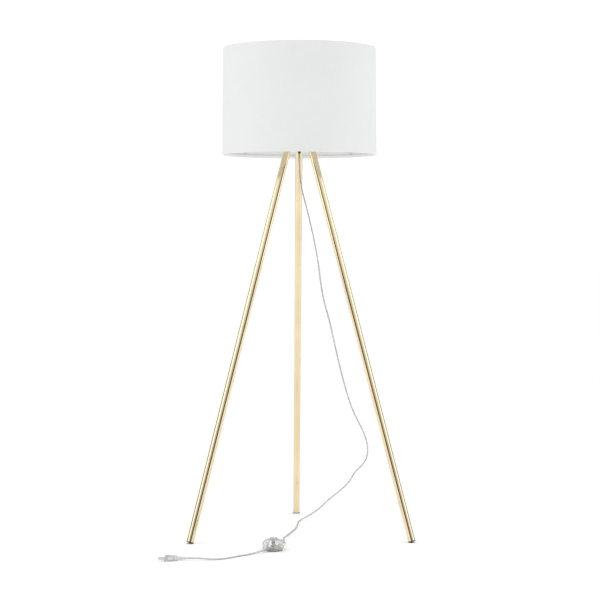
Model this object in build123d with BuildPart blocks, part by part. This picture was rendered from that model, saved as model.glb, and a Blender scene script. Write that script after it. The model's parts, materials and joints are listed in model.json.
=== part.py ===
"""Tripod floor lamp with a drum shade, an E27 lampholder, a foot switch on the cord and a plug.

Millimetres, +Z up. The origin is the point of the floor under the lamp's vertical axis. The back
leg stands over +Y, the front legs stand over -X and +X on the -Y side.
"""
import os
from math import atan2, cos, degrees, pi, radians, sin, tan

from build123d import *

os.makedirs("parts", exist_ok=True)

# ---------------------------------------------------------------- driving dimensions
# shade: a nearly straight drum of fabric on a plastic liner
shade_bottom_radius = 240.0
shade_top_radius = 237.0
shade_bottom_z = 1177.0
shade_height = 331.0
fabric_thickness = 0.9
liner_thickness = 0.7
shade_wire_radius = 2.0
hem_depth = 9.0
shade_gap = 0.05
arm_count = 4
arm_bend_radius = 9.0

# legs: straight round tubes, leaning outwards from the hub, cut square at both ends
leg_lean = 16.085
leg_floor_radius = 387.4
leg_radius = 11.0
leg_wall = 1.2
leg_azimuths = {"back": 90.0, "left": 210.0, "right": 330.0}
cap_thickness = 3.0
cap_flat_depth = 1.0
cap_plug_length = 14.0

# hub: a pressed bracket with one tab square to each leg
hub_underside_z = shade_bottom_z + 12.0
hub_plate_radius = 31.0
hub_thickness = 4.0
hub_tab_radius = 14.0
leg_bolt_radius = 4.0
leg_bolt_length = 26.0
leg_insert_length = 28.0

# M10 nipple, its nut, and the lampholder standing on it
nipple_radius = 5.0
nipple_bore_radius = 3.5
thread_gap = 0.05
bushing_height = 7.0
holder_cap_radius = 19.5
holder_cap_height = 28.7
skirt_radius = 19.6
skirt_height = 32.0
skirt_flange_radius = 23.5
skirt_flange_thickness = 2.5
running_gap = 0.3

# E27 lamp cap and bulb
bulb_cap_radius = 13.0
bulb_length = 108.0
globe_radius = 30.0

# cord, foot switch and plug
cord_radius = 2.3
switch_centre = (-85.0, -315.0)
switch_heading = 240.0
switch_radius = 33.8
switch_seam_z = 17.0
switch_height = 39.0
switch_gland_z = 8.0
button_radius = 12.0
plug_start = (-335.0, -474.0)
plug_half_height = 6.85
plug_pin_radius = 2.0
plug_pin_spacing = 19.0
plug_pin_length = 19.0

# ---------------------------------------------------------------- worked-out places
shade_top_z = shade_bottom_z + shade_height
lean_slope = tan(radians(leg_lean))
tab_inner_radius = 27.9
leg_top_radius = (
    leg_floor_radius - (hub_underside_z - tab_inner_radius * lean_slope) * lean_slope
) / (1 + lean_slope**2)
leg_top_z = hub_underside_z + (leg_top_radius - tab_inner_radius) * lean_slope
cap_end_z = leg_radius * sin(radians(leg_lean)) - cap_flat_depth
cap_end_distance = (leg_top_z - cap_end_z) / cos(radians(leg_lean))
leg_length = cap_end_distance - cap_thickness


def leg_plane(azimuth, distance=0.0):
    """A plane square to a leg, that far down its axis from the top, its normal pointing down the leg
    and its X axis pointing away from the lamp's axis."""
    outward = Vector(cos(radians(azimuth)), sin(radians(azimuth)), 0)
    down = outward * sin(radians(leg_lean)) - Vector(0, 0, cos(radians(leg_lean)))
    top = outward * leg_top_radius + Vector(0, 0, leg_top_z)
    across = outward * cos(radians(leg_lean)) + Vector(0, 0, sin(radians(leg_lean)))
    return Plane(origin=top + down * distance, x_dir=across, z_dir=down)


# ---------------------------------------------------------------- legs, inserts, bolts, foot caps
for leg_name, azimuth in leg_azimuths.items():
    with BuildPart() as leg_tube:
        with BuildSketch(leg_plane(azimuth)):
            Circle(leg_radius)
            Circle(leg_radius - leg_wall, mode=Mode.SUBTRACT)
        extrude(amount=leg_length)
    leg_tube.part.label = f"leg_tube_{leg_name}"
    export_step(leg_tube.part, f"parts/leg_tube_{leg_name}.step")

    # rubber cap: a ribbed plug in the tube, a disc over its end, moulded flat where it stands
    with BuildPart() as foot_cap:
        with BuildSketch(leg_plane(azimuth, leg_length)):
            Circle(leg_radius)
        extrude(amount=cap_thickness)
        with BuildSketch(leg_plane(azimuth, leg_length - cap_plug_length)):
            Circle(leg_radius - leg_wall - shade_gap)
            Circle(leg_radius - leg_wall - 3.0, mode=Mode.SUBTRACT)
        extrude(amount=cap_plug_length)
        with BuildSketch(Plane.XY):
            Rectangle(3 * leg_floor_radius, 3 * leg_floor_radius)
        extrude(amount=-2 * cap_thickness, mode=Mode.SUBTRACT)
    foot_cap.part.label = f"foot_cap_{leg_name}"
    export_step(foot_cap.part, f"parts/foot_cap_{leg_name}.step")

with BuildPart() as leg_inserts:
    for azimuth in leg_azimuths.values():
        with BuildSketch(leg_plane(azimuth)):
            Circle(leg_radius - leg_wall - shade_gap)
            Circle(leg_bolt_radius + thread_gap, mode=Mode.SUBTRACT)
        extrude(amount=leg_insert_length)
leg_inserts.part.label = "leg_inserts"
export_step(leg_inserts.part, "parts/leg_inserts.step")

washer_thickness = 1.6
bolt_head_height = 5.3
bolt_head_flats = 13.0
with BuildPart() as leg_washers:
    for azimuth in leg_azimuths.values():
        with BuildSketch(leg_plane(azimuth, -hub_thickness)):
            Circle(8.0)
            Circle(leg_bolt_radius + 0.4, mode=Mode.SUBTRACT)
        extrude(amount=-washer_thickness)
leg_washers.part.label = "leg_washers"
export_step(leg_washers.part, "parts/leg_washers.step")

with BuildPart() as leg_bolts:
    for azimuth in leg_azimuths.values():
        with BuildSketch(leg_plane(azimuth, -hub_thickness - washer_thickness)):
            RegularPolygon(bolt_head_flats / 2, 6, major_radius=False)
        extrude(amount=-bolt_head_height)
        with BuildSketch(leg_plane(azimuth, -hub_thickness - washer_thickness)):
            Circle(leg_bolt_radius)
        extrude(amount=leg_bolt_length)
leg_bolts.part.label = "leg_bolts"
export_step(leg_bolts.part, "parts/leg_bolts.step")

# ---------------------------------------------------------------- hub bracket
tab_reach = (leg_top_radius - tab_inner_radius) / cos(radians(leg_lean))
with BuildPart() as hub_bracket:
    with BuildSketch(Plane.XY.offset(hub_underside_z)):
        Circle(hub_plate_radius)
    extrude(amount=hub_thickness)
    for azimuth in leg_azimuths.values():
        with BuildSketch(leg_plane(azimuth)):
            Circle(hub_tab_radius)
            with Locations((-tab_reach / 2, 0)):
                Rectangle(tab_reach, 2 * hub_tab_radius)
        extrude(amount=-hub_thickness)
        with BuildSketch(leg_plane(azimuth)):
            Circle(leg_bolt_radius + 0.4)
        extrude(amount=-hub_thickness, mode=Mode.SUBTRACT)
    with BuildSketch(Plane.XY.offset(hub_underside_z)):
        Circle(nipple_radius + thread_gap)
    extrude(amount=hub_thickness, mode=Mode.SUBTRACT)
hub_bracket.part.label = "hub_bracket"
export_step(hub_bracket.part, "parts/hub_bracket.step")

# ---------------------------------------------------------------- nipple, washer, nut, bushing
hub_top_z = hub_underside_z + hub_thickness
hub_washer_thickness = 1.5
hub_nut_height = 4.0
holder_z = hub_top_z + hub_washer_thickness + hub_nut_height
neck_height = 8.0
nipple_top_z = holder_z + neck_height + 2.0
with BuildPart() as nipple:
    with BuildSketch(Plane.XY.offset(hub_underside_z)):
        Circle(nipple_radius)
        Circle(nipple_bore_radius, mode=Mode.SUBTRACT)
    extrude(amount=nipple_top_z - hub_underside_z)
nipple.part.label = "nipple"
export_step(nipple.part, "parts/nipple.step")

with BuildPart() as hub_washer:
    with BuildSketch(Plane.XY.offset(hub_top_z)):
        Circle(14.0)
        Circle(nipple_radius + 0.3, mode=Mode.SUBTRACT)
    extrude(amount=hub_washer_thickness)
hub_washer.part.label = "hub_washer"
export_step(hub_washer.part, "parts/hub_washer.step")

with BuildPart() as hub_nut:
    with BuildSketch(Plane.XY.offset(hub_top_z + hub_washer_thickness)):
        RegularPolygon(7.0, 6, major_radius=False)
        Circle(nipple_radius + thread_gap, mode=Mode.SUBTRACT)
    extrude(amount=hub_nut_height)
hub_nut.part.label = "hub_nut"
export_step(hub_nut.part, "parts/hub_nut.step")

cord_exit_z = hub_underside_z - bushing_height
with BuildPart() as cord_bushing:
    with BuildSketch(Plane.XZ):
        with BuildLine():
            Polyline(
                (cord_radius + thread_gap, cord_exit_z),
                (3.6, cord_exit_z),
                (4.8, hub_underside_z - 2.0),
                (4.8, hub_underside_z),
                (nipple_bore_radius - thread_gap, hub_underside_z),
                (nipple_bore_radius - thread_gap, hub_underside_z + 6.0),
                (cord_radius + thread_gap, hub_underside_z + 6.0),
                close=True,
            )
        make_face()
    revolve(axis=Axis.Z)
cord_bushing.part.label = "cord_bushing"
export_step(cord_bushing.part, "parts/cord_bushing.step")

# ---------------------------------------------------------------- lampholder
skirt_z = holder_z + holder_cap_height
cap_wall = 1.5
with BuildPart() as holder_cap:
    with BuildSketch(Plane.XZ):
        with BuildLine():
            neck_out = Polyline(
                (nipple_radius + thread_gap, holder_z),
                (8.5, holder_z),
                (8.5, holder_z + 5.0),
            )
            shoulder = TangentArc(
                neck_out @ 1, (holder_cap_radius, holder_z + 16.0), tangent=(1, 0)
            )
            Polyline(
                shoulder @ 1,
                (holder_cap_radius, skirt_z),
                (holder_cap_radius - cap_wall, skirt_z),
                (holder_cap_radius - cap_wall, holder_z + 17.0),
                (9.0, holder_z + neck_height),
                (nipple_radius + thread_gap, holder_z + neck_height),
                neck_out @ 0,
            )
        make_face()
    revolve(axis=Axis.Z)
    with BuildSketch(Plane.YZ.offset(nipple_radius)):
        with Locations((0, holder_z + 2.6)):
            Circle(1.55)
    extrude(amount=5.0, mode=Mode.SUBTRACT)
holder_cap.part.label = "holder_cap"
export_step(holder_cap.part, "parts/holder_cap.step")

with BuildPart() as holder_grub_screw:
    with BuildSketch(Plane.YZ.offset(nipple_radius + 0.1)):
        with Locations((0, holder_z + 2.6)):
            Circle(1.5)
    extrude(amount=3.9)
    with BuildSketch(Plane.YZ.offset(nipple_radius + 4.0)):
        with Locations((0, holder_z + 2.6)):
            Rectangle(0.5, 3.0)
    extrude(amount=-0.8, mode=Mode.SUBTRACT)
holder_grub_screw.part.label = "holder_grub_screw"
export_step(holder_grub_screw.part, "parts/holder_grub_screw.step")

# the outer skirt: a flange that the shade rests on, and a thread for the shade ring above it
thread_pitch = 2.5
thread_depth = 0.7
thread_start_z = skirt_z + 4.0
thread_turns = 10
thread_profile = [(skirt_radius, thread_start_z)]
for turn in range(thread_turns):
    crest_z = thread_start_z + (turn + 0.5) * thread_pitch
    thread_profile.append((skirt_radius + thread_depth, crest_z))
    thread_profile.append((skirt_radius, crest_z + thread_pitch / 2))
with BuildPart() as holder_skirt:
    with BuildSketch(Plane.XZ):
        with BuildLine():
            Polyline(
                (skirt_radius - 2.2, skirt_z),
                (skirt_flange_radius, skirt_z),
                (skirt_flange_radius, skirt_z + skirt_flange_thickness),
                (skirt_radius, skirt_z + skirt_flange_thickness),
                *thread_profile,
                (skirt_radius, skirt_z + skirt_height),
                (skirt_radius - 2.2, skirt_z + skirt_height),
                close=True,
            )
        make_face()
    revolve(axis=Axis.Z)
holder_skirt.part.label = "holder_skirt"
export_step(holder_skirt.part, "parts/holder_skirt.step")

insert_radius = skirt_radius - 2.2 - 0.1
insert_floor_z = skirt_z + 3.5
shell_outer_radius = bulb_cap_radius + running_gap + 0.7
with BuildPart() as holder_insert:
    with BuildSketch(Plane.XZ):
        with BuildLine():
            Polyline(
                (0, insert_floor_z - 8.0),
                (insert_radius, insert_floor_z - 8.0),
                (insert_radius, skirt_z + skirt_height - 1.0),
                (shell_outer_radius + 0.05, skirt_z + skirt_height - 1.0),
                (shell_outer_radius + 0.05, insert_floor_z),
                (0, insert_floor_z),
                close=True,
            )
        make_face()
    revolve(axis=Axis.Z)
    with BuildSketch(Plane.XY.offset(insert_floor_z - 8.0)):
        with Locations((-9.0, 0), (9.0, 0)):
            Circle(1.75)
    extrude(amount=6.0, mode=Mode.SUBTRACT)
holder_insert.part.label = "holder_insert"
export_step(holder_insert.part, "parts/holder_insert.step")

with BuildPart() as screw_shell:
    with BuildSketch(Plane.XZ):
        with BuildLine():
            Polyline(
                (7.5, insert_floor_z),
                (shell_outer_radius, insert_floor_z),
                (shell_outer_radius, skirt_z + skirt_height - 3.0),
                (bulb_cap_radius + running_gap, skirt_z + skirt_height - 3.0),
                (bulb_cap_radius + running_gap, insert_floor_z + 0.7),
                (7.5, insert_floor_z + 0.7),
                close=True,
            )
        make_face()
    revolve(axis=Axis.Z)
screw_shell.part.label = "screw_shell"
export_step(screw_shell.part, "parts/screw_shell.step")

# springy brass tongue under the bulb's contact
contact_top_z = insert_floor_z + 5.0
with BuildPart() as centre_contact:
    with BuildSketch(Plane.XZ.offset(-2.5)):
        with BuildLine():
            Polyline(
                (-6.5, insert_floor_z),
                (6.0, insert_floor_z),
                (6.0, insert_floor_z + 0.5),
                (-4.5, insert_floor_z + 0.5),
                (-1.8, contact_top_z - 0.5),
                (3.5, contact_top_z - 0.5),
                (3.5, contact_top_z),
                (-2.2, contact_top_z),
                (-5.2, insert_floor_z + 0.5),
                (-6.5, insert_floor_z + 0.5),
                close=True,
            )
        make_face()
    extrude(amount=5.0)
centre_contact.part.label = "centre_contact"
export_step(centre_contact.part, "parts/centre_contact.step")

with BuildPart() as holder_terminal_screws:
    with BuildSketch(Plane.XY.offset(insert_floor_z - 8.0)):
        with Locations((-9.0, 0), (9.0, 0)):
            Circle(3.0)
    extrude(amount=-2.0)
    with BuildSketch(Plane.XY.offset(insert_floor_z - 8.0)):
        with Locations((-9.0, 0), (9.0, 0)):
            Circle(1.7)
    extrude(amount=5.0)
    with BuildSketch(Plane.XY.offset(insert_floor_z - 10.0)):
        with Locations((-9.0, 0), (9.0, 0)):
            Rectangle(0.8, 7.0)
    extrude(amount=0.9, mode=Mode.SUBTRACT)
holder_terminal_screws.part.label = "holder_terminal_screws"
export_step(holder_terminal_screws.part, "parts/holder_terminal_screws.step")

# ---------------------------------------------------------------- shade
centre_ring_z = skirt_z + skirt_flange_thickness + running_gap
centre_ring_thickness = 2.0
centre_ring_radius = 32.0
shade_ring_radius = 28.0
shade_ring_height = 7.5
with BuildPart() as shade_ring:
    with BuildSketch(Plane.XY.offset(centre_ring_z + centre_ring_thickness + running_gap)):
        Circle(shade_ring_radius)
        Circle(skirt_radius + thread_depth + 0.1, mode=Mode.SUBTRACT)
        with PolarLocations(shade_ring_radius, 16):
            Circle(1.4, mode=Mode.SUBTRACT)
    extrude(amount=shade_ring_height)
shade_ring.part.label = "shade_ring"
export_step(shade_ring.part, "parts/shade_ring.step")

with BuildPart() as shade_centre_ring:
    with BuildSketch(Plane.XY.offset(centre_ring_z)):
        Circle(centre_ring_radius)
        Circle(skirt_radius + thread_depth + 0.5, mode=Mode.SUBTRACT)
    extrude(amount=centre_ring_thickness)
shade_centre_ring.part.label = "shade_centre_ring"
export_step(shade_centre_ring.part, "parts/shade_centre_ring.step")

hem_width = 2 * fabric_thickness + liner_thickness + 2 * shade_wire_radius + 6 * shade_gap
hem_slot = hem_width - fabric_thickness
with BuildPart() as shade_fabric:
    with BuildSketch(Plane.XZ):
        with BuildLine():
            Polyline(
                (shade_bottom_radius, shade_bottom_z),
                (shade_top_radius, shade_top_z),
                (shade_top_radius - hem_width, shade_top_z),
                (shade_top_radius - hem_width, shade_top_z - hem_depth),
                (shade_top_radius - hem_slot, shade_top_z - hem_depth),
                (shade_top_radius - hem_slot, shade_top_z - fabric_thickness),
                (shade_top_radius - fabric_thickness, shade_top_z - fabric_thickness),
                (shade_bottom_radius - fabric_thickness, shade_bottom_z + fabric_thickness),
                (shade_bottom_radius - hem_slot, shade_bottom_z + fabric_thickness),
                (shade_bottom_radius - hem_slot, shade_bottom_z + hem_depth),
                (shade_bottom_radius - hem_width, shade_bottom_z + hem_depth),
                (shade_bottom_radius - hem_width, shade_bottom_z),
                close=True,
            )
        make_face()
    revolve(axis=Axis.Z)
shade_fabric.part.label = "shade_fabric"
export_step(shade_fabric.part, "parts/shade_fabric.step")

liner_inset = fabric_thickness + shade_gap
liner_end = fabric_thickness + 0.1
with BuildPart() as shade_liner:
    with BuildSketch(Plane.XZ):
        with BuildLine():
            Polyline(
                (shade_bottom_radius - liner_inset, shade_bottom_z + liner_end),
                (shade_top_radius - liner_inset, shade_top_z - liner_end),
                (shade_top_radius - liner_inset - liner_thickness, shade_top_z - liner_end),
                (shade_bottom_radius - liner_inset - liner_thickness, shade_bottom_z + liner_end),
                close=True,
            )
        make_face()
    revolve(axis=Axis.Z)
shade_liner.part.label = "shade_liner"
export_step(shade_liner.part, "parts/shade_liner.step")

wire_inset = liner_inset + liner_thickness + shade_gap + shade_wire_radius
wire_lift = fabric_thickness + shade_gap + shade_wire_radius
with BuildPart() as shade_top_ring:
    with BuildSketch(Plane.XZ):
        with Locations((shade_top_radius - wire_inset, shade_top_z - wire_lift)):
            Circle(shade_wire_radius)
    revolve(axis=Axis.Z)
shade_top_ring.part.label = "shade_top_ring"
export_step(shade_top_ring.part, "parts/shade_top_ring.step")

with BuildPart() as shade_bottom_ring:
    with BuildSketch(Plane.XZ):
        with Locations((shade_bottom_radius - wire_inset, shade_bottom_z + wire_lift)):
            Circle(shade_wire_radius)
    revolve(axis=Axis.Z)
shade_bottom_ring.part.label = "shade_bottom_ring"
export_step(shade_bottom_ring.part, "parts/shade_bottom_ring.step")

# four arms: up from the bottom ring, then level to the centre ring
arm_foot = (shade_bottom_radius - wire_inset, shade_bottom_z + wire_lift + shade_wire_radius + 0.05)
arm_level_z = centre_ring_z + centre_ring_thickness / 2
arm_lean = (shade_bottom_radius - shade_top_radius) / shade_height * (arm_level_z - arm_foot[1])
with BuildPart() as shade_arms:
    for arm in range(arm_count):
        azimuth = radians(45.0 + 360.0 / arm_count * arm)
        outward = Vector(cos(azimuth), sin(azimuth), 0)
        arm_points = [
            outward * arm_foot[0] + Vector(0, 0, arm_foot[1]),
            outward * (arm_foot[0] - arm_lean) + Vector(0, 0, arm_level_z),
            outward * (centre_ring_radius + 0.05) + Vector(0, 0, arm_level_z),
        ]
        with BuildLine():
            FilletPolyline(*arm_points, radius=arm_bend_radius)
        with BuildSketch(Plane(origin=arm_points[0], z_dir=arm_points[1] - arm_points[0])):
            Circle(shade_wire_radius)
        sweep()
shade_arms.part.label = "shade_arms"
export_step(shade_arms.part, "parts/shade_arms.step")

# ---------------------------------------------------------------- bulb
bulb_z = contact_top_z + running_gap
bulb_top_z = bulb_z + bulb_length
bulb_neck_z = bulb_z + 26.0
with BuildPart() as bulb_contact:
    with BuildSketch(Plane.XZ):
        with BuildLine():
            Polyline((0, bulb_z + 1.6), (0, bulb_z), (3.0, bulb_z), (4.6, bulb_z + 1.6), close=True)
        make_face()
    revolve(axis=Axis.Z)
bulb_contact.part.label = "bulb_contact"
export_step(bulb_contact.part, "parts/bulb_contact.step")

with BuildPart() as bulb_insulator:
    with BuildSketch(Plane.XZ):
        with BuildLine():
            Polyline(
                (0, bulb_z + 1.65),
                (4.8, bulb_z + 1.65),
                (11.6, bulb_z + 4.5),
                (11.6, bulb_z + 6.5),
                (0, bulb_z + 6.5),
                close=True,
            )
        make_face()
    revolve(axis=Axis.Z)
bulb_insulator.part.label = "bulb_insulator"
export_step(bulb_insulator.part, "parts/bulb_insulator.step")

with BuildPart() as bulb_screw_cap:
    with BuildSketch(Plane.XZ):
        with BuildLine():
            Polyline(
                (11.7, bulb_z + 4.6),
                (bulb_cap_radius, bulb_z + 6.0),
                (bulb_cap_radius, bulb_neck_z),
                (bulb_cap_radius - 0.6, bulb_neck_z),
                (bulb_cap_radius - 0.6, bulb_z + 6.6),
                (11.7, bulb_z + 6.6),
                close=True,
            )
        make_face()
    revolve(axis=Axis.Z)
bulb_screw_cap.part.label = "bulb_screw_cap"
export_step(bulb_screw_cap.part, "parts/bulb_screw_cap.step")

housing_top_z = bulb_neck_z + 30.0
housing_radius = 25.0
with BuildPart() as bulb_housing:
    with BuildSketch(Plane.XZ):
        with BuildLine():
            outside = Spline(
                (bulb_cap_radius + 0.3, bulb_neck_z),
                (16.5, bulb_neck_z + 12.0),
                (housing_radius, housing_top_z),
            )
            inside = Spline(
                (housing_radius - 2.0, housing_top_z),
                (14.5, bulb_neck_z + 12.0),
                (bulb_cap_radius - 1.7, bulb_neck_z),
            )
            Line(outside @ 1, inside @ 0)
            Line(inside @ 1, outside @ 0)
        make_face()
    revolve(axis=Axis.Z)
bulb_housing.part.label = "bulb_housing"
export_step(bulb_housing.part, "parts/bulb_housing.step")

with BuildPart() as bulb_led_board:
    with BuildSketch(Plane.XY.offset(housing_top_z - 2.6)):
        Circle(housing_radius - 3.6)
    extrude(amount=1.6)
    with BuildSketch(Plane.XY.offset(housing_top_z - 1.0)):
        with PolarLocations(14.0, 10):
            Rectangle(3.0, 3.0)
    extrude(amount=0.7)
bulb_led_board.part.label = "bulb_led_board"
export_step(bulb_led_board.part, "parts/bulb_led_board.step")

globe_wall = 1.0
globe_waist_z = bulb_top_z - globe_radius
with BuildPart() as bulb_globe:
    with BuildSketch(Plane.XZ):
        with BuildLine():
            outer_side = Spline(
                (housing_radius, housing_top_z + 0.05),
                (globe_radius, globe_waist_z),
                tangents=((0.35, 1), (0, 1)),
            )
            outer_dome = TangentArc(outer_side @ 1, (0, bulb_top_z), tangent=(0, 1))
            inner_side = Spline(
                (housing_radius - globe_wall, housing_top_z + 0.05),
                (globe_radius - globe_wall, globe_waist_z),
                tangents=((0.35, 1), (0, 1)),
            )
            inner_dome = TangentArc(
                inner_side @ 1, (0, bulb_top_z - globe_wall), tangent=(0, 1)
            )
            Line(outer_dome @ 1, inner_dome @ 1)
            Line(outer_side @ 0, inner_side @ 0)
        make_face()
    revolve(axis=Axis.Z)
bulb_globe.part.label = "bulb_globe"
export_step(bulb_globe.part, "parts/bulb_globe.step")

# ---------------------------------------------------------------- cord routes
heading = Vector(cos(radians(switch_heading)), sin(radians(switch_heading)), 0)
switch_middle = Vector(switch_centre[0], switch_centre[1], switch_gland_z)
clamp_reach = 19.0
gland_reach = 35.0
floor_z = cord_radius

upper_route = [
    (0, 0, cord_exit_z),
    (0, 0, 1135),
    (5, 1, 1080),
    (21, 4, 1020),
    (36, 9, 960),
    (49, 14, 900),
    (60, 20, 840),
    (67, 26, 780),
    (78, 33, 720),
    (96, 40, 660),
    (109, 48, 600),
    (123, 56, 540),
    (138, 66, 480),
    (155, 77, 420),
    (175, 88, 365),
    (200, 98, 318),
    (218, 110, 275),
    (224, 128, 232),
    (211, 146, 195),
    (184, 160, 170),
    (165, 176, 132),
    (134, 195, 100),
    (99, 213, 70),
    (70, 229, 38),
    (34, 240, 12),
    (8, 226, floor_z),
    (0, 180, floor_z),
    (-4, 120, floor_z),
    (-10, 60, floor_z),
    (-22, 5, floor_z),
    (-37, -60, floor_z),
    (-54, -125, floor_z),
    (-50, -188, 3.0),
    switch_middle - heading * 72.0,
    switch_middle - heading * clamp_reach,
]
lower_route = [
    switch_middle + heading * clamp_reach,
    switch_middle + heading * 60.0,
    (-150, -390, 3.0),
    (-190, -422, floor_z),
    (-225, -462, floor_z),
    (-265, -474, 3.0),
    (-300, plug_start[1], plug_half_height),
    (plug_start[0], plug_start[1], plug_half_height),
]


def bend_radii(route):
    """The radius of each corner of a route: as large as its two runs allow."""
    points = [Vector(*point) if isinstance(point, tuple) else point for point in route]
    radii = []
    for before, corner, after in zip(points, points[1:], points[2:]):
        turn = radians((corner - before).get_angle(after - corner))
        shorter_run = min((corner - before).length, (after - corner).length)
        radii.append(0.45 * shorter_run / tan(turn / 2))
    return radii


with BuildPart() as cord_upper:
    with BuildLine() as upper_line:
        FilletPolyline(*upper_route, radius=bend_radii(upper_route))
    with BuildSketch(Plane(origin=upper_line.line @ 0, z_dir=upper_line.line % 0)):
        Circle(cord_radius)
    sweep()
cord_upper.part.label = "cord_upper"
export_step(cord_upper.part, "parts/cord_upper.step")

with BuildPart() as cord_lower:
    with BuildLine() as lower_line:
        FilletPolyline(*lower_route, radius=bend_radii(lower_route))
    with BuildSketch(Plane(origin=lower_line.line @ 0, z_dir=lower_line.line % 0)):
        Circle(cord_radius)
    sweep()
cord_lower.part.label = "cord_lower"
export_step(cord_lower.part, "parts/cord_lower.step")

for cord_name, line, tube, route in (
    ("upper", upper_line, cord_upper, upper_route),
    ("lower", lower_line, cord_lower, lower_route),
):
    cord_length = line.wire().length
    share = tube.part.volume / (pi * cord_radius**2 * cord_length)
    print(f"cord_{cord_name}: {cord_length:.0f} mm, volume / (section x length) = {share:.4f}")
    print("  bend radii, mm:", [round(radius) for radius in bend_radii(route)])

# the cord goes on through the bushing and the nipple, and its two cores go to the terminals
riser_top_z = nipple_top_z + 0.5
with BuildPart() as cord_riser:
    with BuildSketch(Plane.XY.offset(cord_exit_z)):
        Circle(cord_radius)
    extrude(amount=riser_top_z - cord_exit_z)
cord_riser.part.label = "cord_riser"
export_step(cord_riser.part, "parts/cord_riser.step")

core_radius = 1.0
core_top = Vector(9.0, 0, insert_floor_z - 11.3)
with BuildPart() as cord_cores:
    for side in (-1, 1):
        core_start = Vector(1.2 * side, 0, riser_top_z + 1.0)
        core_end = Vector(side * core_top.X, 0, core_top.Z)
        with BuildSketch(Plane(origin=core_start, z_dir=core_end - core_start)):
            Circle(core_radius)
        extrude(amount=(core_end - core_start).length)
cord_cores.part.label = "cord_cores"
export_step(cord_cores.part, "parts/cord_cores.step")

# ---------------------------------------------------------------- foot switch
switch_wall = 1.8
switch_foot_height = 1.5
switch_floor_z = switch_foot_height + 2.0
base_radius = 26.0


def switch_level(height):
    """A level plane at that height over the switch's middle, its X axis along the cord's way."""
    return Plane(
        origin=(switch_centre[0], switch_centre[1], height), x_dir=heading, z_dir=(0, 0, 1)
    )


# upright plane through the switch's middle: X across the body, Y up
switch_upright = Plane(
    origin=(switch_centre[0], switch_centre[1], 0), x_dir=heading, z_dir=heading.cross(Vector(0, 0, 1))
)
switch_axis = Axis((switch_centre[0], switch_centre[1], 0), (0, 0, 1))

with BuildPart() as switch_foot_ring:
    with BuildSketch(switch_level(0)):
        Circle(25.0)
        Circle(21.0, mode=Mode.SUBTRACT)
    extrude(amount=switch_foot_height)
switch_foot_ring.part.label = "switch_foot_ring"
export_step(switch_foot_ring.part, "parts/switch_foot_ring.step")

cover_post_radius = 3.6
cover_post_distance = 20.0
screw_head_radius = 2.7
screw_head_height = 1.4
with BuildPart() as switch_base:
    with BuildSketch(switch_upright):
        with BuildLine():
            flank = ThreePointArc(
                (base_radius, switch_foot_height), (31.0, 7.5), (switch_radius, switch_seam_z)
            )
            inner_flank = ThreePointArc(
                (switch_radius - switch_wall, switch_seam_z), (29.0, 8.3), (base_radius - 1.2, switch_floor_z)
            )
            Line(flank @ 1, inner_flank @ 0)
            Polyline(inner_flank @ 1, (0, switch_floor_z), (0, switch_foot_height), flank @ 0)
        make_face()
    revolve(axis=switch_axis)
    with BuildSketch(switch_level(switch_floor_z)):
        with Locations((0, -cover_post_distance), (0, cover_post_distance)):
            Circle(cover_post_radius)
    extrude(amount=switch_seam_z - switch_floor_z)
    for side in (-1, 1):
        gland_plane = Plane(
            origin=switch_middle + heading * (28.0 * side), z_dir=heading * side
        )
        with BuildSketch(gland_plane):
            Circle(4.4)
        extrude(amount=gland_reach - 28.0)
    with BuildSketch(Plane(origin=switch_middle - heading * 40.0, z_dir=heading)):
        Circle(cord_radius + thread_gap)
    extrude(amount=16.0, mode=Mode.SUBTRACT)
    with BuildSketch(Plane(origin=switch_middle + heading * 40.0, z_dir=-heading)):
        Circle(cord_radius + thread_gap)
    extrude(amount=16.0, mode=Mode.SUBTRACT)
    with BuildSketch(switch_level(switch_foot_height)):
        with Locations((0, -cover_post_distance), (0, cover_post_distance)):
            Circle(1.6)
    extrude(amount=switch_seam_z, mode=Mode.SUBTRACT)
    with BuildSketch(switch_level(switch_foot_height)):
        with Locations((0, -cover_post_distance), (0, cover_post_distance)):
            Circle(screw_head_radius + 0.3)
    extrude(amount=screw_head_height, mode=Mode.SUBTRACT)
switch_base.part.label = "switch_base"
export_step(switch_base.part, "parts/switch_base.step")

cover_hole_radius = button_radius + running_gap
cover_top_z = 33.0
with BuildPart() as switch_cover:
    with BuildSketch(switch_upright):
        with BuildLine():
            crown = ThreePointArc(
                (switch_radius, switch_seam_z + 0.1), (27.5, 28.0), (cover_hole_radius, cover_top_z)
            )
            inner_crown = ThreePointArc(
                (cover_hole_radius, cover_top_z - switch_wall),
                (26.2, 26.6),
                (switch_radius - switch_wall, switch_seam_z + 0.1),
            )
            Line(crown @ 1, inner_crown @ 0)
            Line(inner_crown @ 1, crown @ 0)
        make_face()
    revolve(axis=switch_axis)
    with BuildSketch(switch_level(switch_seam_z + 0.1)):
        with Locations((0, -cover_post_distance), (0, cover_post_distance)):
            Circle(cover_post_radius)
    extrude(amount=12.1)
    with BuildSketch(switch_level(switch_seam_z + 0.1)):
        with Locations((0, -cover_post_distance), (0, cover_post_distance)):
            Circle(1.55)
    extrude(amount=7.0, mode=Mode.SUBTRACT)
switch_cover.part.label = "switch_cover"
export_step(switch_cover.part, "parts/switch_cover.step")

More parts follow.
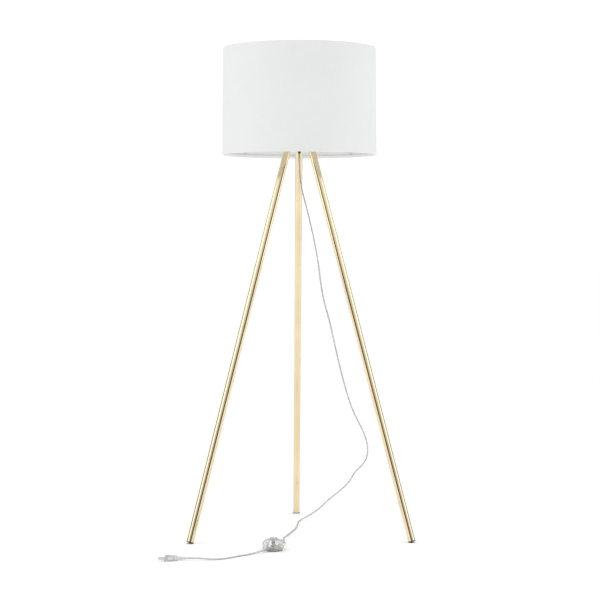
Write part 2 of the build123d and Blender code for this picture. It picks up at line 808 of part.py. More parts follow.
flange_top_z = cover_top_z - switch_wall - 2 * running_gap
button_shoulder_z = switch_height - 3.0
with BuildPart() as switch_button:
    with BuildSketch(switch_upright):
        with BuildLine():
            rim = Polyline(
                (button_radius - 1.4, flange_top_z - 1.5),
                (button_radius + 2.0, flange_top_z - 1.5),
                (button_radius + 2.0, flange_top_z),
                (button_radius, flange_top_z),
                (button_radius, button_shoulder_z),
            )
            dome = TangentArc((0, switch_height), rim @ 1, tangent=(1, 0))
            Polyline(
                dome @ 0,
                (0, switch_height - 1.6),
                (button_radius - 1.4, button_shoulder_z - 1.0),
                rim @ 0,
            )
        make_face()
    revolve(axis=switch_axis)
switch_button.part.label = "switch_button"
export_step(switch_button.part, "parts/switch_button.step")

plunger_z = 21.0
with BuildPart() as switch_plunger:
    with BuildSketch(switch_upright):
        with BuildLine():
            Polyline(
                (0, plunger_z),
                (5.6, plunger_z),
                (5.6, plunger_z + 3.0),
                (2.4, plunger_z + 12.0),
                (2.4, switch_height - 2.4),
                (0, switch_height - 2.4),
                close=True,
            )
        make_face()
    revolve(axis=switch_axis)
switch_plunger.part.label = "switch_plunger"
export_step(switch_plunger.part, "parts/switch_plunger.step")

# return spring between the contact bridge and the plunger
bridge_z = 12.0
bridge_thickness = 3.5
spring_z = bridge_z + bridge_thickness + 0.1
spring_wire_radius = 0.35
spring_coil_radius = 4.4
spring_height = plunger_z - 0.1 - spring_z - 2 * spring_wire_radius
with BuildPart() as switch_spring:
    with BuildLine() as coil:
        Helix(
            pitch=spring_height / 3,
            height=spring_height,
            radius=spring_coil_radius,
            center=(switch_centre[0], switch_centre[1], spring_z + spring_wire_radius),
        )
    with BuildSketch(Plane(origin=coil.line @ 0, z_dir=coil.line % 0)):
        Circle(spring_wire_radius)
    sweep(is_frenet=True)
switch_spring.part.label = "switch_spring"
export_step(switch_spring.part, "parts/switch_spring.step")

with BuildPart() as switch_bridge:
    with BuildSketch(switch_level(bridge_z)):
        RectangleRounded(22.0, 7.0, 1.5)
    extrude(amount=bridge_thickness)
switch_bridge.part.label = "switch_bridge"
export_step(switch_bridge.part, "parts/switch_bridge.step")

with BuildPart() as switch_carrier:
    with BuildSketch(switch_level(switch_floor_z)):
        Circle(5.5)
        Rectangle(10.0, 24.0)
    extrude(amount=3.0)
    with BuildSketch(switch_level(switch_floor_z + 3.0)):
        Circle(5.5)
    extrude(amount=bridge_z - 0.05 - switch_floor_z - 3.0)
switch_carrier.part.label = "switch_carrier"
export_step(switch_carrier.part, "parts/switch_carrier.step")

terminal_distance = 12.5
with BuildPart() as switch_terminals:
    with BuildSketch(switch_level(switch_floor_z)):
        with Locations((-terminal_distance, 0), (terminal_distance, 0)):
            Rectangle(8.0, 7.0)
    extrude(amount=6.5)
    with BuildSketch(switch_level(switch_floor_z + 6.5)):
        with Locations((-terminal_distance, 0), (terminal_distance, 0)):
            Circle(1.55)
    extrude(amount=-3.5, mode=Mode.SUBTRACT)
switch_terminals.part.label = "switch_terminals"
export_step(switch_terminals.part, "parts/switch_terminals.step")

with BuildPart() as switch_terminal_screws:
    with BuildSketch(switch_level(switch_floor_z + 3.4)):
        with Locations((-terminal_distance, 0), (terminal_distance, 0)):
            Circle(1.5)
    extrude(amount=3.1)
    with BuildSketch(switch_level(switch_floor_z + 6.5)):
        with Locations((-terminal_distance, 0), (terminal_distance, 0)):
            Circle(2.6)
    extrude(amount=1.6)
    with BuildSketch(switch_level(switch_floor_z + 8.1)):
        with Locations((-terminal_distance, 0), (terminal_distance, 0)):
            Rectangle(0.7, 6.0)
    extrude(amount=-0.8, mode=Mode.SUBTRACT)
switch_terminal_screws.part.label = "switch_terminal_screws"
export_step(switch_terminal_screws.part, "parts/switch_terminal_screws.step")

# a saddle over the cord at each end, on two screws
clamp_distance = 22.5
clamp_screw_offset = 5.4
clamp_z = switch_gland_z + cord_radius + 0.1
with BuildPart() as switch_clamps:
    with BuildSketch(switch_level(clamp_z)):
        with Locations((-clamp_distance, 0), (clamp_distance, 0)):
            RectangleRounded(5.0, 15.5, 1.2)
        with GridLocations(2 * clamp_distance, 2 * clamp_screw_offset, 2, 2):
            Circle(1.35, mode=Mode.SUBTRACT)
    extrude(amount=2.0)
switch_clamps.part.label = "switch_clamps"
export_step(switch_clamps.part, "parts/switch_clamps.step")

with BuildPart() as switch_clamp_screws:
    with BuildSketch(switch_level(switch_floor_z)):
        with GridLocations(2 * clamp_distance, 2 * clamp_screw_offset, 2, 2):
            Circle(1.3)
    extrude(amount=clamp_z + 2.0 - switch_floor_z)
    with BuildSketch(switch_level(clamp_z + 2.0)):
        with GridLocations(2 * clamp_distance, 2 * clamp_screw_offset, 2, 2):
            Circle(2.1)
    extrude(amount=1.2)
switch_clamp_screws.part.label = "switch_clamp_screws"
export_step(switch_clamp_screws.part, "parts/switch_clamp_screws.step")

with BuildPart() as switch_cover_screws:
    with BuildSketch(switch_level(switch_foot_height)):
        with Locations((0, -cover_post_distance), (0, cover_post_distance)):
            Circle(screw_head_radius)
    extrude(amount=screw_head_height)
    with BuildSketch(switch_level(switch_foot_height)):
        with Locations((0, -cover_post_distance), (0, cover_post_distance)):
            Circle(1.5)
    extrude(amount=21.5)
    with BuildSketch(switch_level(switch_foot_height)):
        with Locations((0, -cover_post_distance), (0, cover_post_distance)):
            Rectangle(3.6, 0.8)
            Rectangle(0.8, 3.6)
    extrude(amount=0.9, mode=Mode.SUBTRACT)
switch_cover_screws.part.label = "switch_cover_screws"
export_step(switch_cover_screws.part, "parts/switch_cover_screws.step")

# ---------------------------------------------------------------- plug
relief_length = 26.0
plug_length = 62.0
plug_corner = 3.0
plug_shank_radius = 1.6
plug_shank_length = 9.9
plug_level = Plane(
    origin=(plug_start[0], plug_start[1], plug_half_height), x_dir=(-1, 0, 0), z_dir=(0, 0, 1)
)
with BuildPart() as plug_body:
    with BuildSketch(plug_level):
        with BuildLine():
            Polyline(
                (relief_length, -6.5),
                (relief_length + 9.0, -8.5),
                (relief_length + 19.0, -17.5),
                (plug_length, -17.5),
                (plug_length, 17.5),
                (relief_length + 19.0, 17.5),
                (relief_length + 9.0, 8.5),
                (relief_length, 6.5),
                close=True,
            )
        make_face()
    extrude(amount=plug_half_height, both=True)
    fillet(plug_body.edges().filter_by(Axis.Z), plug_corner)
    fillet(plug_body.faces().filter_by(Axis.Z).edges(), 2.0)
    with BuildSketch(Plane(origin=plug_level.origin, z_dir=(-1, 0, 0))):
        Circle(3.4)
    with BuildSketch(Plane(origin=plug_level.origin + Vector(-relief_length - 1.0, 0, 0), z_dir=(-1, 0, 0))):
        Circle(5.4)
    loft()
    with BuildSketch(Plane(origin=plug_level.origin + Vector(-plug_length, 0, 0), z_dir=(1, 0, 0))):
        with Locations((0, -plug_pin_spacing / 2), (0, plug_pin_spacing / 2)):
            Circle(plug_shank_radius + thread_gap)
    extrude(amount=plug_shank_length + 0.1, mode=Mode.SUBTRACT)
plug_body.part.label = "plug_body"
export_step(plug_body.part, "parts/plug_body.step")

# each pin's free end, and a thinner shank moulded into the body
plug_face = Plane(origin=plug_level.origin + Vector(-plug_length, 0, 0), z_dir=(-1, 0, 0))
with BuildPart() as plug_pins:
    with BuildSketch(plug_face):
        with Locations((0, -plug_pin_spacing / 2), (0, plug_pin_spacing / 2)):
            Circle(plug_pin_radius)
    extrude(amount=plug_pin_length)
    fillet(plug_pins.faces().sort_by(Axis.X)[:2].edges(), 1.0)
    with BuildSketch(plug_face):
        with Locations((0, -plug_pin_spacing / 2), (0, plug_pin_spacing / 2)):
            Circle(plug_shank_radius)
    extrude(amount=-plug_shank_length)
plug_pins.part.label = "plug_pins"
export_step(plug_pins.part, "parts/plug_pins.step")
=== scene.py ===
"""Looks of the tripod floor lamp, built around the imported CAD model. Metres, +Z up, the CAD's frame."""
import json

import bmesh
import bpy
from math import cos, pi, radians, sin
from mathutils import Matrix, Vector, noise


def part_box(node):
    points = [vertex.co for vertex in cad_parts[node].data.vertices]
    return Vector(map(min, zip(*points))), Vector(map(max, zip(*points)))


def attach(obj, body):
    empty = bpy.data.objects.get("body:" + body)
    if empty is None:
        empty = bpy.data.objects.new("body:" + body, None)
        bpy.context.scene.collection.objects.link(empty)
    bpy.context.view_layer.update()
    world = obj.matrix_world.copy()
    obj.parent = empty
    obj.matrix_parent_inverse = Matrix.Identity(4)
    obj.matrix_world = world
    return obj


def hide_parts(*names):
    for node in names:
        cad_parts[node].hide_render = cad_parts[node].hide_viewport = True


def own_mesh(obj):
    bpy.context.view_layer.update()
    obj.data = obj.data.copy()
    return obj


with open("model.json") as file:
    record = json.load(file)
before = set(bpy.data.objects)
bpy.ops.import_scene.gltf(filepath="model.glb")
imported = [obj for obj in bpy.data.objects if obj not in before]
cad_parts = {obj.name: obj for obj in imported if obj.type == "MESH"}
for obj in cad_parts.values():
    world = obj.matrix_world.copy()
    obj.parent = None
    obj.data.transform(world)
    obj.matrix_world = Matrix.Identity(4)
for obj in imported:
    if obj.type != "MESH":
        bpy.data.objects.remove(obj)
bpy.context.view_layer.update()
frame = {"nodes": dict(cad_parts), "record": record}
nodes = frame["nodes"]
scene = bpy.context.scene
collection = scene.collection

# ---------------------------------------------------------------- camera
camera_data = bpy.data.cameras.new("camera")
camera_data.lens = 105.2
camera_data.sensor_width = 36.0
camera_data.clip_start = 0.1
camera_data.clip_end = 300.0
camera = bpy.data.objects.new("camera", camera_data)
camera.location = (-0.1448, -5.4551, 0.9155)
camera.rotation_euler = (radians(90.0 - 1.977), 0.0, radians(-1.54))
collection.objects.link(camera)
scene.camera = camera

# ---------------------------------------------------------------- sizes that repeat part.py's
CORD_RADIUS = 0.0023
SWITCH_CENTRE = Vector((-0.085, -0.315, 0.0))
SWITCH_HEADING = Vector((cos(radians(240.0)), sin(radians(240.0)), 0.0))
SWITCH_GLAND = SWITCH_CENTRE + Vector((0.0, 0.0, 0.008))
GLAND_REACH = 0.035
CLAMP_REACH = 0.019
PLUG_HALF_HEIGHT = 0.00685
CORD_EXIT = Vector((0.0, 0.0, 1.182))
PLUG_START = Vector((-0.335, -0.474, PLUG_HALF_HEIGHT))
SHADE_BOTTOM_RADIUS = 0.240
SHADE_TOP_RADIUS = 0.237
SHADE_BOTTOM_Z = 1.177
SHADE_TOP_Z = 1.508
HEM_WIDTH = 0.0068
HEM_DEPTH = 0.009
CLOTH = 0.0009
RIM_RISE = 0.0022
RIM_STEPS = 8
WEAVE_PITCH = 0.0009


# ---------------------------------------------------------------- mesh helpers
def add_object(name, data):
    piece = bpy.data.objects.new(name, data)
    collection.objects.link(piece)
    return piece


def smooth(piece):
    for face in piece.data.polygons:
        face.use_smooth = True
    return piece


def revolve(name, loop, segments, shift=None, centre=Vector((0, 0, 0))):
    """A closed loop of (radius, height) points turned about Z; shift(point) may move each vertex."""
    mesh = bpy.data.meshes.new(name)
    points = []
    for i in range(segments):
        turn = 2 * pi * i / segments
        for radius, height in loop:
            point = Vector((radius * cos(turn), radius * sin(turn), height))
            points.append((shift(point) if shift else point) + centre)
    count = len(loop)
    faces = []
    for i in range(segments):
        for j in range(count):
            k = (j + 1) % count
            n = (i + 1) % segments
            faces.append((i * count + j, n * count + j, n * count + k, i * count + k))
    mesh.from_pydata(points, [], faces)
    mesh.validate()
    piece = smooth(add_object(name, mesh))
    fix_normals(piece)
    return piece


def fix_normals(piece):
    form = bmesh.new()
    form.from_mesh(piece.data)
    bmesh.ops.recalc_face_normals(form, faces=form.faces)
    form.to_mesh(piece.data)
    form.free()


def tube_along(name, line, radii, sides=16, twist=0.0, offset=0.0, strands=1):
    """A closed mesh tube round each strand of a line of points. radii is a list, or one radius."""
    mesh = bpy.data.meshes.new(name)
    points = []
    faces = []
    travelled = 0.0
    up = Vector((0.31, 0.17, 0.93)).normalized()
    frames = []
    for i, here in enumerate(line):
        ahead = line[min(i + 1, len(line) - 1)]
        behind = line[max(i - 1, 0)]
        way = (ahead - behind).normalized()
        side = (up - way * up.dot(way)).normalized()
        up = side
        if i:
            travelled += (here - line[i - 1]).length
        frames.append((here, side, way.cross(side), travelled))
    for strand in range(strands):
        first = len(points)
        for i, (here, side, other, gone) in enumerate(frames):
            turn = 2 * pi * (strand / strands + (gone / twist if twist else 0.0))
            middle = here + (side * cos(turn) + other * sin(turn)) * offset
            radius = radii[i] if isinstance(radii, list) else radii
            for s in range(sides):
                a = 2 * pi * s / sides
                points.append(middle + (side * cos(a) + other * sin(a)) * radius)
        for i in range(len(line) - 1):
            for s in range(sides):
                t = (s + 1) % sides
                a, b = first + i * sides, first + (i + 1) * sides
                faces.append((a + s, a + t, b + t, b + s))
        faces.append(tuple(first + s for s in reversed(range(sides))))
        last = first + (len(line) - 1) * sides
        faces.append(tuple(last + s for s in range(sides)))
    mesh.from_pydata(points, [], faces)
    mesh.validate()
    piece = smooth(add_object(name, mesh))
    fix_normals(piece)
    return piece


# ---------------------------------------------------------------- cords
def nurbs_cord(name, route):
    """One smooth open curve whose control points are the route's."""
    curve = bpy.data.curves.new(name, "CURVE")
    curve.dimensions = "3D"
    curve.resolution_u = 12
    spline = curve.splines.new("NURBS")
    spline.points.add(len(route) - 1)
    for point, place in zip(spline.points, route):
        point.co = (*place, 1.0)
    spline.order_u = 3
    spline.use_endpoint_u = True
    cord = add_object(name, curve)
    bpy.context.view_layer.update()
    sampled = bpy.data.meshes.new_from_object(cord)
    line = [v.co.copy() for v in sampled.vertices]
    bpy.data.meshes.remove(sampled)
    curve.bevel_depth = CORD_RADIUS
    curve.bevel_resolution = 5
    curve.use_fill_caps = True
    return cord, line


FLOOR = CORD_RADIUS
upper_route = [
    CORD_EXIT,
    (0.000, 0.000, 1.135),
    (0.005, 0.001, 1.080),
    (0.021, 0.004, 1.020),
    (0.036, 0.009, 0.960),
    (0.049, 0.014, 0.900),
    (0.060, 0.020, 0.840),
    (0.067, 0.026, 0.780),
    (0.078, 0.033, 0.720),
    (0.096, 0.040, 0.660),
    (0.109, 0.048, 0.600),
    (0.123, 0.056, 0.540),
    (0.138, 0.066, 0.480),
    (0.155, 0.077, 0.420),
    (0.175, 0.088, 0.365),
    (0.200, 0.098, 0.318),
    (0.218, 0.110, 0.275),
    (0.224, 0.128, 0.232),
    (0.211, 0.146, 0.195),
    (0.184, 0.160, 0.170),
    (0.165, 0.176, 0.132),
    (0.134, 0.195, 0.100),
    (0.099, 0.213, 0.070),
    (0.070, 0.229, 0.038),
    (0.034, 0.240, 0.012),
    (0.008, 0.226, FLOOR),
    (0.000, 0.180, FLOOR),
    (-0.004, 0.120, FLOOR),
    (-0.010, 0.060, FLOOR),
    (-0.022, 0.005, FLOOR),
    (-0.037, -0.060, FLOOR),
    (-0.054, -0.125, FLOOR),
    (-0.050, -0.188, 0.003),
    SWITCH_GLAND - SWITCH_HEADING * 0.072,
    SWITCH_GLAND - SWITCH_HEADING * CLAMP_REACH,
]
lower_route = [
    SWITCH_GLAND + SWITCH_HEADING * CLAMP_REACH,
    SWITCH_GLAND + SWITCH_HEADING * 0.060,
    (-0.150, -0.390, 0.003),
    (-0.190, -0.422, FLOOR),
    (-0.225, -0.462, FLOOR),
    (-0.265, -0.474, 0.003),
    (-0.300, -0.474, PLUG_HALF_HEIGHT),
    PLUG_START,
]
upper_cord, upper_line = nurbs_cord("cord_upper_clear", upper_route)
lower_cord, lower_line = nurbs_cord("cord_lower_clear", lower_route)


# ---------------------------------------------------------------- materials
class Nodes:
    """A material's node tree, with its Principled shader and the place in the object's own frame."""

    def __init__(self, name, **sockets):
        self.material = bpy.data.materials.new(name)
        self.material.use_nodes = True
        self.tree = self.material.node_tree
        self.shader = self.tree.nodes["Principled BSDF"]
        for socket, value in sockets.items():
            self.shader.inputs[socket.replace("_", " ")].default_value = value
        self.place = self.add("ShaderNodeTexCoord").outputs["Object"]

    def add(self, kind, **settings):
        node = self.tree.nodes.new(kind)
        for setting, value in settings.items():
            setattr(node, setting, value)
        return node

    def link(self, output, socket):
        self.tree.links.new(output, socket)

    def noise(self, scale, detail=4.0, roughness=0.55, place=None, stretch=None):
        """A noise pattern's value, scale cells to a metre."""
        source = place or self.place
        if stretch:
            mapping = self.add("ShaderNodeMapping")
            mapping.inputs["Scale"].default_value = stretch
            self.link(source, mapping.inputs["Vector"])
            source = mapping.outputs["Vector"]
        texture = self.add("ShaderNodeTexNoise")
        texture.inputs["Scale"].default_value = scale
        texture.inputs["Detail"].default_value = detail
        texture.inputs["Roughness"].default_value = roughness
        self.link(source, texture.inputs["Vector"])
        return texture.outputs["Fac"]

    def math(self, operation, first, second=None):
        node = self.add("ShaderNodeMath", operation=operation)
        for socket, value in zip(node.inputs, (first, second)):
            if value is None:
                continue
            if isinstance(value, (int, float)):
                socket.default_value = value
            else:
                self.link(value, socket)
        return node.outputs["Value"]

    def ramp(self, value, *stops):
        """A colour ramp; each stop is (position, colour)."""
        node = self.add("ShaderNodeValToRGB")
        elements = node.color_ramp.elements
        while len(elements) < len(stops):
            elements.new(0.5)
        for element, (position, colour) in zip(elements, stops):
            element.position = position
            element.color = (*colour, 1.0)
        self.link(value, node.inputs["Fac"])
        return node.outputs["Color"]

    def spread(self, value, low, high, start=0.3, end=0.7):
        """A value between start and end, spread from low to high."""
        node = self.add("ShaderNodeMapRange")
        for socket, number in (("From Min", start), ("From Max", end), ("To Min", low), ("To Max", high)):
            node.inputs[socket].default_value = number
        self.link(value, node.inputs["Value"])
        return node.outputs["Result"]

    def bump(self, height, strength, distance, below=None):
        node = self.add("ShaderNodeBump")
        node.inputs["Strength"].default_value = strength
        node.inputs["Distance"].default_value = distance
        self.link(height, node.inputs["Height"])
        if below:
            self.link(below, node.inputs["Normal"])
        return node.outputs["Normal"]

    def colour(self, output):
        self.link(output, self.shader.inputs["Base Color"])

    def rough(self, output):
        self.link(output, self.shader.inputs["Roughness"])

    def normal(self, output):
        self.link(output, self.shader.inputs["Normal"])


def polished_metal(name, dark, light, rough, smudge, wave=0.00002):
    """Polished plating: faint smudges, a slight waviness, fine wiping marks."""
    m = Nodes(name, Metallic=1.0)
    m.colour(m.ramp(m.noise(9.0, 6.0), (0.3, dark), (0.7, light)))
    m.rough(m.spread(m.noise(26.0, 8.0, 0.65), rough, rough + smudge))
    broad = m.bump(m.noise(38.0, 2.0), 0.35, wave)
    fine = m.bump(m.noise(700.0, 3.0, stretch=(1.0, 1.0, 0.08)), 0.25, 0.000006, broad)
    m.normal(fine)
    return m.material


def moulded(name, dark, light, rough, grain=900.0, depth=0.00003, **sockets):
    """A moulded plastic or rubber: mottled, with a fine sparked surface."""
    m = Nodes(name, **sockets)
    m.colour(m.ramp(m.noise(60.0, 5.0), (0.35, dark), (0.65, light)))
    m.rough(m.spread(m.noise(130.0, 4.0), rough, rough + 0.12))
    m.normal(m.bump(m.noise(grain, 3.0), 0.4, depth))
    return m.material


def clear(name, dark, light, rough, depth, see_through, ior):
    """Clear plastic: flow marks in its colour, a faint orange peel on its surface."""
    m = Nodes(name, IOR=ior, Transmission_Weight=see_through)
    m.colour(m.ramp(m.noise(45.0, 4.0), (0.3, dark), (0.7, light)))
    m.rough(m.spread(m.noise(90.0, 5.0), rough, rough + 0.08))
    m.normal(m.bump(m.noise(260.0, 2.0), 0.3, depth))
    return m.material


def round_shade(m):
    """Coordinates on the shade's wall, as a vector and as metres round it and metres up it."""
    split = m.add("ShaderNodeSeparateXYZ")
    m.link(m.place, split.inputs["Vector"])
    turn = m.math("ARCTAN2", split.outputs["Y"], split.outputs["X"])
    join = m.add("ShaderNodeCombineXYZ")
    around = m.math("MULTIPLY", turn, SHADE_BOTTOM_RADIUS)
    m.link(around, join.inputs["X"])
    m.link(split.outputs["Z"], join.inputs["Y"])
    return join.outputs["Vector"], around, split.outputs["Z"]


def woven(name, dark, light, pitch):
    """Plain weave: threads over and under each other, slubs and thick threads both ways."""
    m = Nodes(name, Specular_IOR_Level=0.15, Sheen_Weight=0.15, Sheen_Roughness=0.5)
    wall, along, up = round_shade(m)
    warp = m.math("SINE", m.math("MULTIPLY", along, 2 * pi / pitch))
    weft = m.math("SINE", m.math("MULTIPLY", up, 2 * pi / pitch))
    cross_warp = m.math("COSINE", m.math("MULTIPLY", along, pi / pitch))
    cross_weft = m.math("COSINE", m.math("MULTIPLY", up, pi / pitch))
    threads = m.math("ADD", m.math("ABSOLUTE", warp), m.math("ABSOLUTE", weft))
    over = m.math("MULTIPLY", cross_warp, cross_weft)
    weave = m.math("ADD", m.math("MULTIPLY", threads, 0.35), m.math("MULTIPLY", over, 0.3))
    slub_across = m.noise(1.0, 3.0, 0.6, wall, (22.0, 900.0, 1.0))
    slub_up = m.noise(1.0, 3.0, 0.6, wall, (900.0, 22.0, 1.0))
    slubs = m.math("ADD", m.math("MULTIPLY", slub_across, 0.5), m.math("MULTIPLY", slub_up, 0.5))
    patch = m.noise(5.0, 3.0, place=wall)
    tone = m.math("ADD", m.math("MULTIPLY", slubs, 0.75), m.math("MULTIPLY", patch, 0.25))
    tone = m.math("ADD", tone, m.math("MULTIPLY", weave, 0.05))
    m.colour(m.ramp(tone, (0.38, dark), (0.62, light)))
    m.rough(m.spread(slubs, 0.78, 0.92))
    m.normal(m.bump(m.math("ADD", weave, m.math("MULTIPLY", slubs, 1.5)), 0.5, 0.00018))
    return m.material


slots = {
    "brass_plating": polished_metal(
        "pale_brass", (0.78, 0.645, 0.415), (0.86, 0.73, 0.49), 0.05, 0.05
    ),
    "zinc_steel": polished_metal("zinc", (0.55, 0.56, 0.57), (0.68, 0.68, 0.67), 0.25, 0.15),
    "brass": polished_metal("plain_brass", (0.70, 0.50, 0.20), (0.80, 0.62, 0.30), 0.22, 0.15),
    "nickel": polished_metal("nickel", (0.60, 0.58, 0.55), (0.72, 0.70, 0.66), 0.18, 0.12),
    "black_rubber": moulded("black_rubber", (0.006, 0.006, 0.006), (0.014, 0.014, 0.013), 0.7),
    "black_plastic": moulded("black_plastic", (0.014, 0.014, 0.014), (0.03, 0.03, 0.03), 0.4),
    "dark_plastic": moulded("dark_plastic", (0.035, 0.036, 0.032), (0.06, 0.06, 0.055), 0.35),
    "white_plastic": moulded("white_plastic", (0.74, 0.74, 0.71), (0.80, 0.80, 0.77), 0.35),
    "white_paint": moulded("white_paint", (0.76, 0.76, 0.74), (0.83, 0.83, 0.81), 0.3, 500.0),
    "shade_liner": moulded("liner", (0.82, 0.82, 0.81), (0.87, 0.87, 0.86), 0.55, 300.0),
    "led_board": moulded("led_board", (0.78, 0.78, 0.74), (0.86, 0.86, 0.82), 0.4),
    "opal_glass": moulded("opal_glass", (0.84, 0.84, 0.82), (0.9, 0.9, 0.88), 0.3, 200.0),
    "clear_pvc": clear(
        "clear_pvc", (0.78, 0.79, 0.77), (0.86, 0.87, 0.85), 0.18, 0.00004, 0.6, 1.49
    ),
    "clear_plastic": clear(
        "clear_plastic", (0.95, 0.97, 0.955), (0.98, 0.99, 0.98), 0.06, 0.00001, 0.85, 1.3
    ),
    "copper_core": moulded("core_insulation", (0.76, 0.75, 0.72), (0.82, 0.81, 0.78), 0.35),
    "shade_fabric": woven("shade_cloth", (0.79, 0.81, 0.805), (0.85, 0.865, 0.86), WEAVE_PITCH),
}


def dress(piece, slot):
    piece.data.materials.clear()
    piece.data.materials.append(slots[slot])


for subpart in frame["record"]["subparts"]:
    dress(nodes[subpart["node"]], subpart["material_slot"])


# ---------------------------------------------------------------- the shade's cloth
def wall_radius(height):
    share = (height - SHADE_BOTTOM_Z) / (SHADE_TOP_Z - SHADE_BOTTOM_Z)
    return SHADE_BOTTOM_RADIUS + (SHADE_TOP_RADIUS - SHADE_BOTTOM_RADIUS) * share


def rolled_rim(top):
    """Half of the cloth's section at one rim, from its outer face over the rim to the hem's edge,
    and back inside the fold. top is 1 at the top rim and -1 at the bottom."""
    rim_z = SHADE_TOP_Z if top > 0 else SHADE_BOTTOM_Z
    radius = wall_radius(rim_z)
    half = HEM_WIDTH / 2
    outside = []
    inside = []
    for step in range(RIM_STEPS + 1):
        a = pi * step / RIM_STEPS
        outside.append(
            (radius - half + half * cos(a), rim_z - top * (RIM_RISE - RIM_RISE * sin(a)))
        )
        inner_half = half - CLOTH
        inner_rise = RIM_RISE - CLOTH
        inside.append(
            (radius - half + inner_half * cos(a), rim_z - top * (RIM_RISE - inner_rise * sin(a)))
        )
    edge = [
        (radius - HEM_WIDTH, rim_z - top * 0.006),
        (radius - HEM_WIDTH + 0.0001, rim_z - top * (HEM_DEPTH - 0.0004)),
        (radius - HEM_WIDTH + CLOTH / 2, rim_z - top * HEM_DEPTH),
        (radius - HEM_WIDTH + CLOTH - 0.0001, rim_z - top * (HEM_DEPTH - 0.0004)),
    ]
    return outside + edge + inside[::-1]


def cloth_shift(point):
    """The cloth isn't dead true: it goes in and out by a fifth of a millimetre."""
    out = Vector((point.x, point.y, 0.0)).normalized()
    wave = noise.noise(point * 9.0) * 0.00022 + noise.noise(point * 31.0) * 0.00008
    return point + out * (wave - 0.00012)


rows = 14
rim_margin = 0.004
wall_height = SHADE_TOP_Z - SHADE_BOTTOM_Z - 2 * rim_margin
heights = [SHADE_BOTTOM_Z + rim_margin + wall_height * i / rows for i in range(rows + 1)]
section = [(wall_radius(z), z) for z in heights]
section += rolled_rim(1)
section += [(wall_radius(z) - CLOTH, z) for z in reversed(heights)]
section += list(reversed(rolled_rim(-1)))
shade_cloth = revolve("shade_cloth", section, 320, cloth_shift)
dress(shade_cloth, "shade_fabric")
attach(shade_cloth, "shade")
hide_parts("shade_fabric")

# the cloth's joint at the back: its end is folded over and glued down over the other
seam_half = 0.006
seam_points = []
seam_faces = []
seam_rows = 40
seam_across = 8
for level in range(seam_rows + 1):
    z = SHADE_BOTTOM_Z + 0.0006 + (SHADE_TOP_Z - SHADE_BOTTOM_Z - 0.0012) * level / seam_rows
    for side in range(seam_across + 1):
        share = side / seam_across
        around = (share - 0.5) * 2 * seam_half
        turn = pi / 2 + around / SHADE_BOTTOM_RADIUS
        proud = 0.00055 * min(1.0, 4 * share, 5 * (1 - share)) - 0.0002
        proud += 0.00012 * noise.noise(Vector((around * 300, z * 60, 3.1)))
        radius = wall_radius(z) + proud
        seam_points.append((radius * cos(turn), radius * sin(turn), z))
for level in range(seam_rows):
    for side in range(seam_across):
        a = level * (seam_across + 1) + side
        seam_faces.append((a, a + 1, a + seam_across + 2, a + seam_across + 1))
seam_mesh = bpy.data.meshes.new("shade_seam")
seam_mesh.from_pydata(seam_points, [], seam_faces)
shade_seam = smooth(add_object("shade_seam", seam_mesh))
seam_body = shade_seam.modifiers.new("body", "SOLIDIFY")
seam_body.thickness = 0.0007
seam_body.offset = 1.0
dress(shade_seam, "shade_fabric")
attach(shade_seam, "shade")

# ---------------------------------------------------------------- cord details
CORE_RADIUS = 0.00075
CORE_OFFSET = 0.00085
CORE_LAY = 0.036
CORE_STEP = 0.003
SLEEVE_STEP = 0.0004
SLEEVE_START = GLAND_REACH - CLAMP_REACH


def resampled(line, step):
    """The points of a line a step apart, read between its own points."""
    points = [line[0].copy()]
    left = step
    for before, after in zip(line, line[1:]):
        run = (after - before).length
        gone = 0.0
        while run - gone >= left:
            gone += left
            points.append(before.lerp(after, gone / run))
            left = step
        left -= run - gone
    points.append(line[-1].copy())
    return points


for side, line in (("upper", upper_line), ("lower", lower_line)):
    cores = tube_along(
        f"cord_{side}_cores",
        resampled(line, CORE_STEP),
        CORE_RADIUS,
        sides=8,
        twist=CORE_LAY,
        offset=CORE_OFFSET,
        strands=2,
    )
    dress(cores, "copper_core")
    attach(cores, "stand")


def relief(name, line, length, ribs, big, small):
    """A tapered, ribbed sleeve on the first length of a cord's line."""
    points = resampled(line, SLEEVE_STEP)[: int(length / SLEEVE_STEP) + 1]
    radii = []
    for i in range(len(points)):
        share = i / (len(points) - 1)
        rib = 0.5 + 0.5 * cos(2 * pi * share * ribs)
        end = 1.0 - 0.35 * max(0.0, (share - 0.93) / 0.07) ** 2
        radii.append((big + (small - big) * share - 0.00035 * (1 - rib) * (1 - share)) * end)
    radii[-1] = CORD_RADIUS + 0.0001
    sleeve = tube_along(name, points, radii, 24)
    dress(sleeve, "clear_pvc")
    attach(sleeve, "stand")


def from_length(line, start):
    """The line from a length along it on."""
    points = resampled(line, SLEEVE_STEP)
    return points[int(start / SLEEVE_STEP):]


relief("hub_relief", upper_line, length=0.024, ribs=6, big=0.0034, small=0.0026)
for name, line in (("switch_in_relief", upper_line[::-1]), ("switch_out_relief", lower_line)):
    relief(name, from_length(line, SLEEVE_START), length=0.022, ribs=6, big=0.0040, small=0.0027)

for cord, replaced in ((upper_cord, "cord_upper"), (lower_cord, "cord_lower")):
    dress(cord, "clear_pvc")
    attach(cord, "stand")
    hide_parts(replaced)

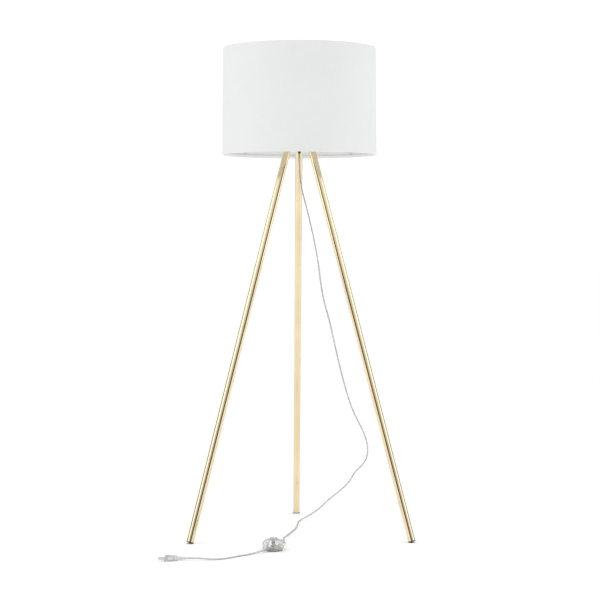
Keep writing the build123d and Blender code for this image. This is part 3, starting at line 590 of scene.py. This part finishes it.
# the foot switch's return spring, a coil of wire drawn at its rest length
SPRING_WIRE_RADIUS = 0.00035
SPRING_TURNS = 3
SPRING_STEPS = 28
spring_low, spring_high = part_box("switch_spring")
spring_height = spring_high[2] - spring_low[2]
coil_radius = (spring_high[0] - spring_low[0]) / 2 - SPRING_WIRE_RADIUS
spring_line = []
for step in range(SPRING_TURNS * SPRING_STEPS + 1):
    share = step / (SPRING_TURNS * SPRING_STEPS)
    turn = 2 * pi * SPRING_TURNS * share
    rise = SPRING_WIRE_RADIUS + (spring_height - 2 * SPRING_WIRE_RADIUS) * share
    around = Vector((coil_radius * cos(turn), coil_radius * sin(turn), 0.0))
    spring_line.append(SWITCH_CENTRE + around + Vector((0.0, 0.0, spring_low[2] + rise)))
return_spring = tube_along("return_spring", spring_line, SPRING_WIRE_RADIUS, 12)
dress(return_spring, "nickel")
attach(return_spring, "stand")
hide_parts("switch_spring")
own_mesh(return_spring)

# ---------------------------------------------------------------- floor
bpy.ops.mesh.primitive_circle_add(vertices=96, radius=60.0, fill_type="NGON", location=(0, 0, 0))
floor = bpy.context.object
floor.name = "floor"
m = Nodes("pale_floor", Roughness=0.9, Specular_IOR_Level=0.1)
m.colour(m.ramp(m.noise(1.5, 3.0), (0.3, (0.955, 0.955, 0.955)), (0.7, (0.97, 0.97, 0.97))))
floor.data.materials.append(m.material)

# ---------------------------------------------------------------- studio light
world = bpy.data.worlds.new("studio")
scene.world = world
world.use_nodes = True
tree = world.node_tree
background = tree.nodes["Background"]
sky_place = tree.nodes.new("ShaderNodeTexCoord")
sky_split = tree.nodes.new("ShaderNodeSeparateXYZ")
sky_ramp = tree.nodes.new("ShaderNodeValToRGB")
tree.links.new(sky_place.outputs["Generated"], sky_split.inputs["Vector"])
tree.links.new(sky_split.outputs["Z"], sky_ramp.inputs["Fac"])
stops = ((0.0, 0.01), (0.10, 0.03), (0.20, 0.60), (0.36, 1.0), (1.0, 1.22))
elements = sky_ramp.color_ramp.elements
while len(elements) < len(stops):
    elements.new(0.5)
for element, (position, level) in zip(elements, stops):
    element.position = position
    element.color = (level, level, level, 1.0)
seen = tree.nodes.new("ShaderNodeBackground")
seen.inputs["Color"].default_value = (1.0, 1.0, 1.0, 1.0)
seen.inputs["Strength"].default_value = 1.1
background.inputs["Strength"].default_value = 1.0
path = tree.nodes.new("ShaderNodeLightPath")
choose = tree.nodes.new("ShaderNodeMixShader")
tree.links.new(sky_ramp.outputs["Color"], background.inputs["Color"])
tree.links.new(path.outputs["Is Camera Ray"], choose.inputs["Fac"])
tree.links.new(background.outputs["Background"], choose.inputs[1])
tree.links.new(seen.outputs["Background"], choose.inputs[2])
tree.links.new(choose.outputs["Shader"], tree.nodes["World Output"].inputs["Surface"])


def softbox(name, place, target, size, power):
    light = bpy.data.lights.new(name, "AREA")
    light.shape = "SQUARE"
    light.size = size
    light.energy = power
    lamp = add_object(name, light)
    lamp.location = place
    aim = (Vector(target) - Vector(place)).to_track_quat("-Z", "Y")
    lamp.rotation_euler = aim.to_euler()


softbox("key", (-4.4, -1.6, 1.9), (0.0, 0.0, 1.0), 2.6, 26.0)
softbox("fill", (4.4, -1.2, 1.8), (0.0, 0.0, 1.0), 2.6, 22.0)

scene.view_settings.view_transform = "Standard"
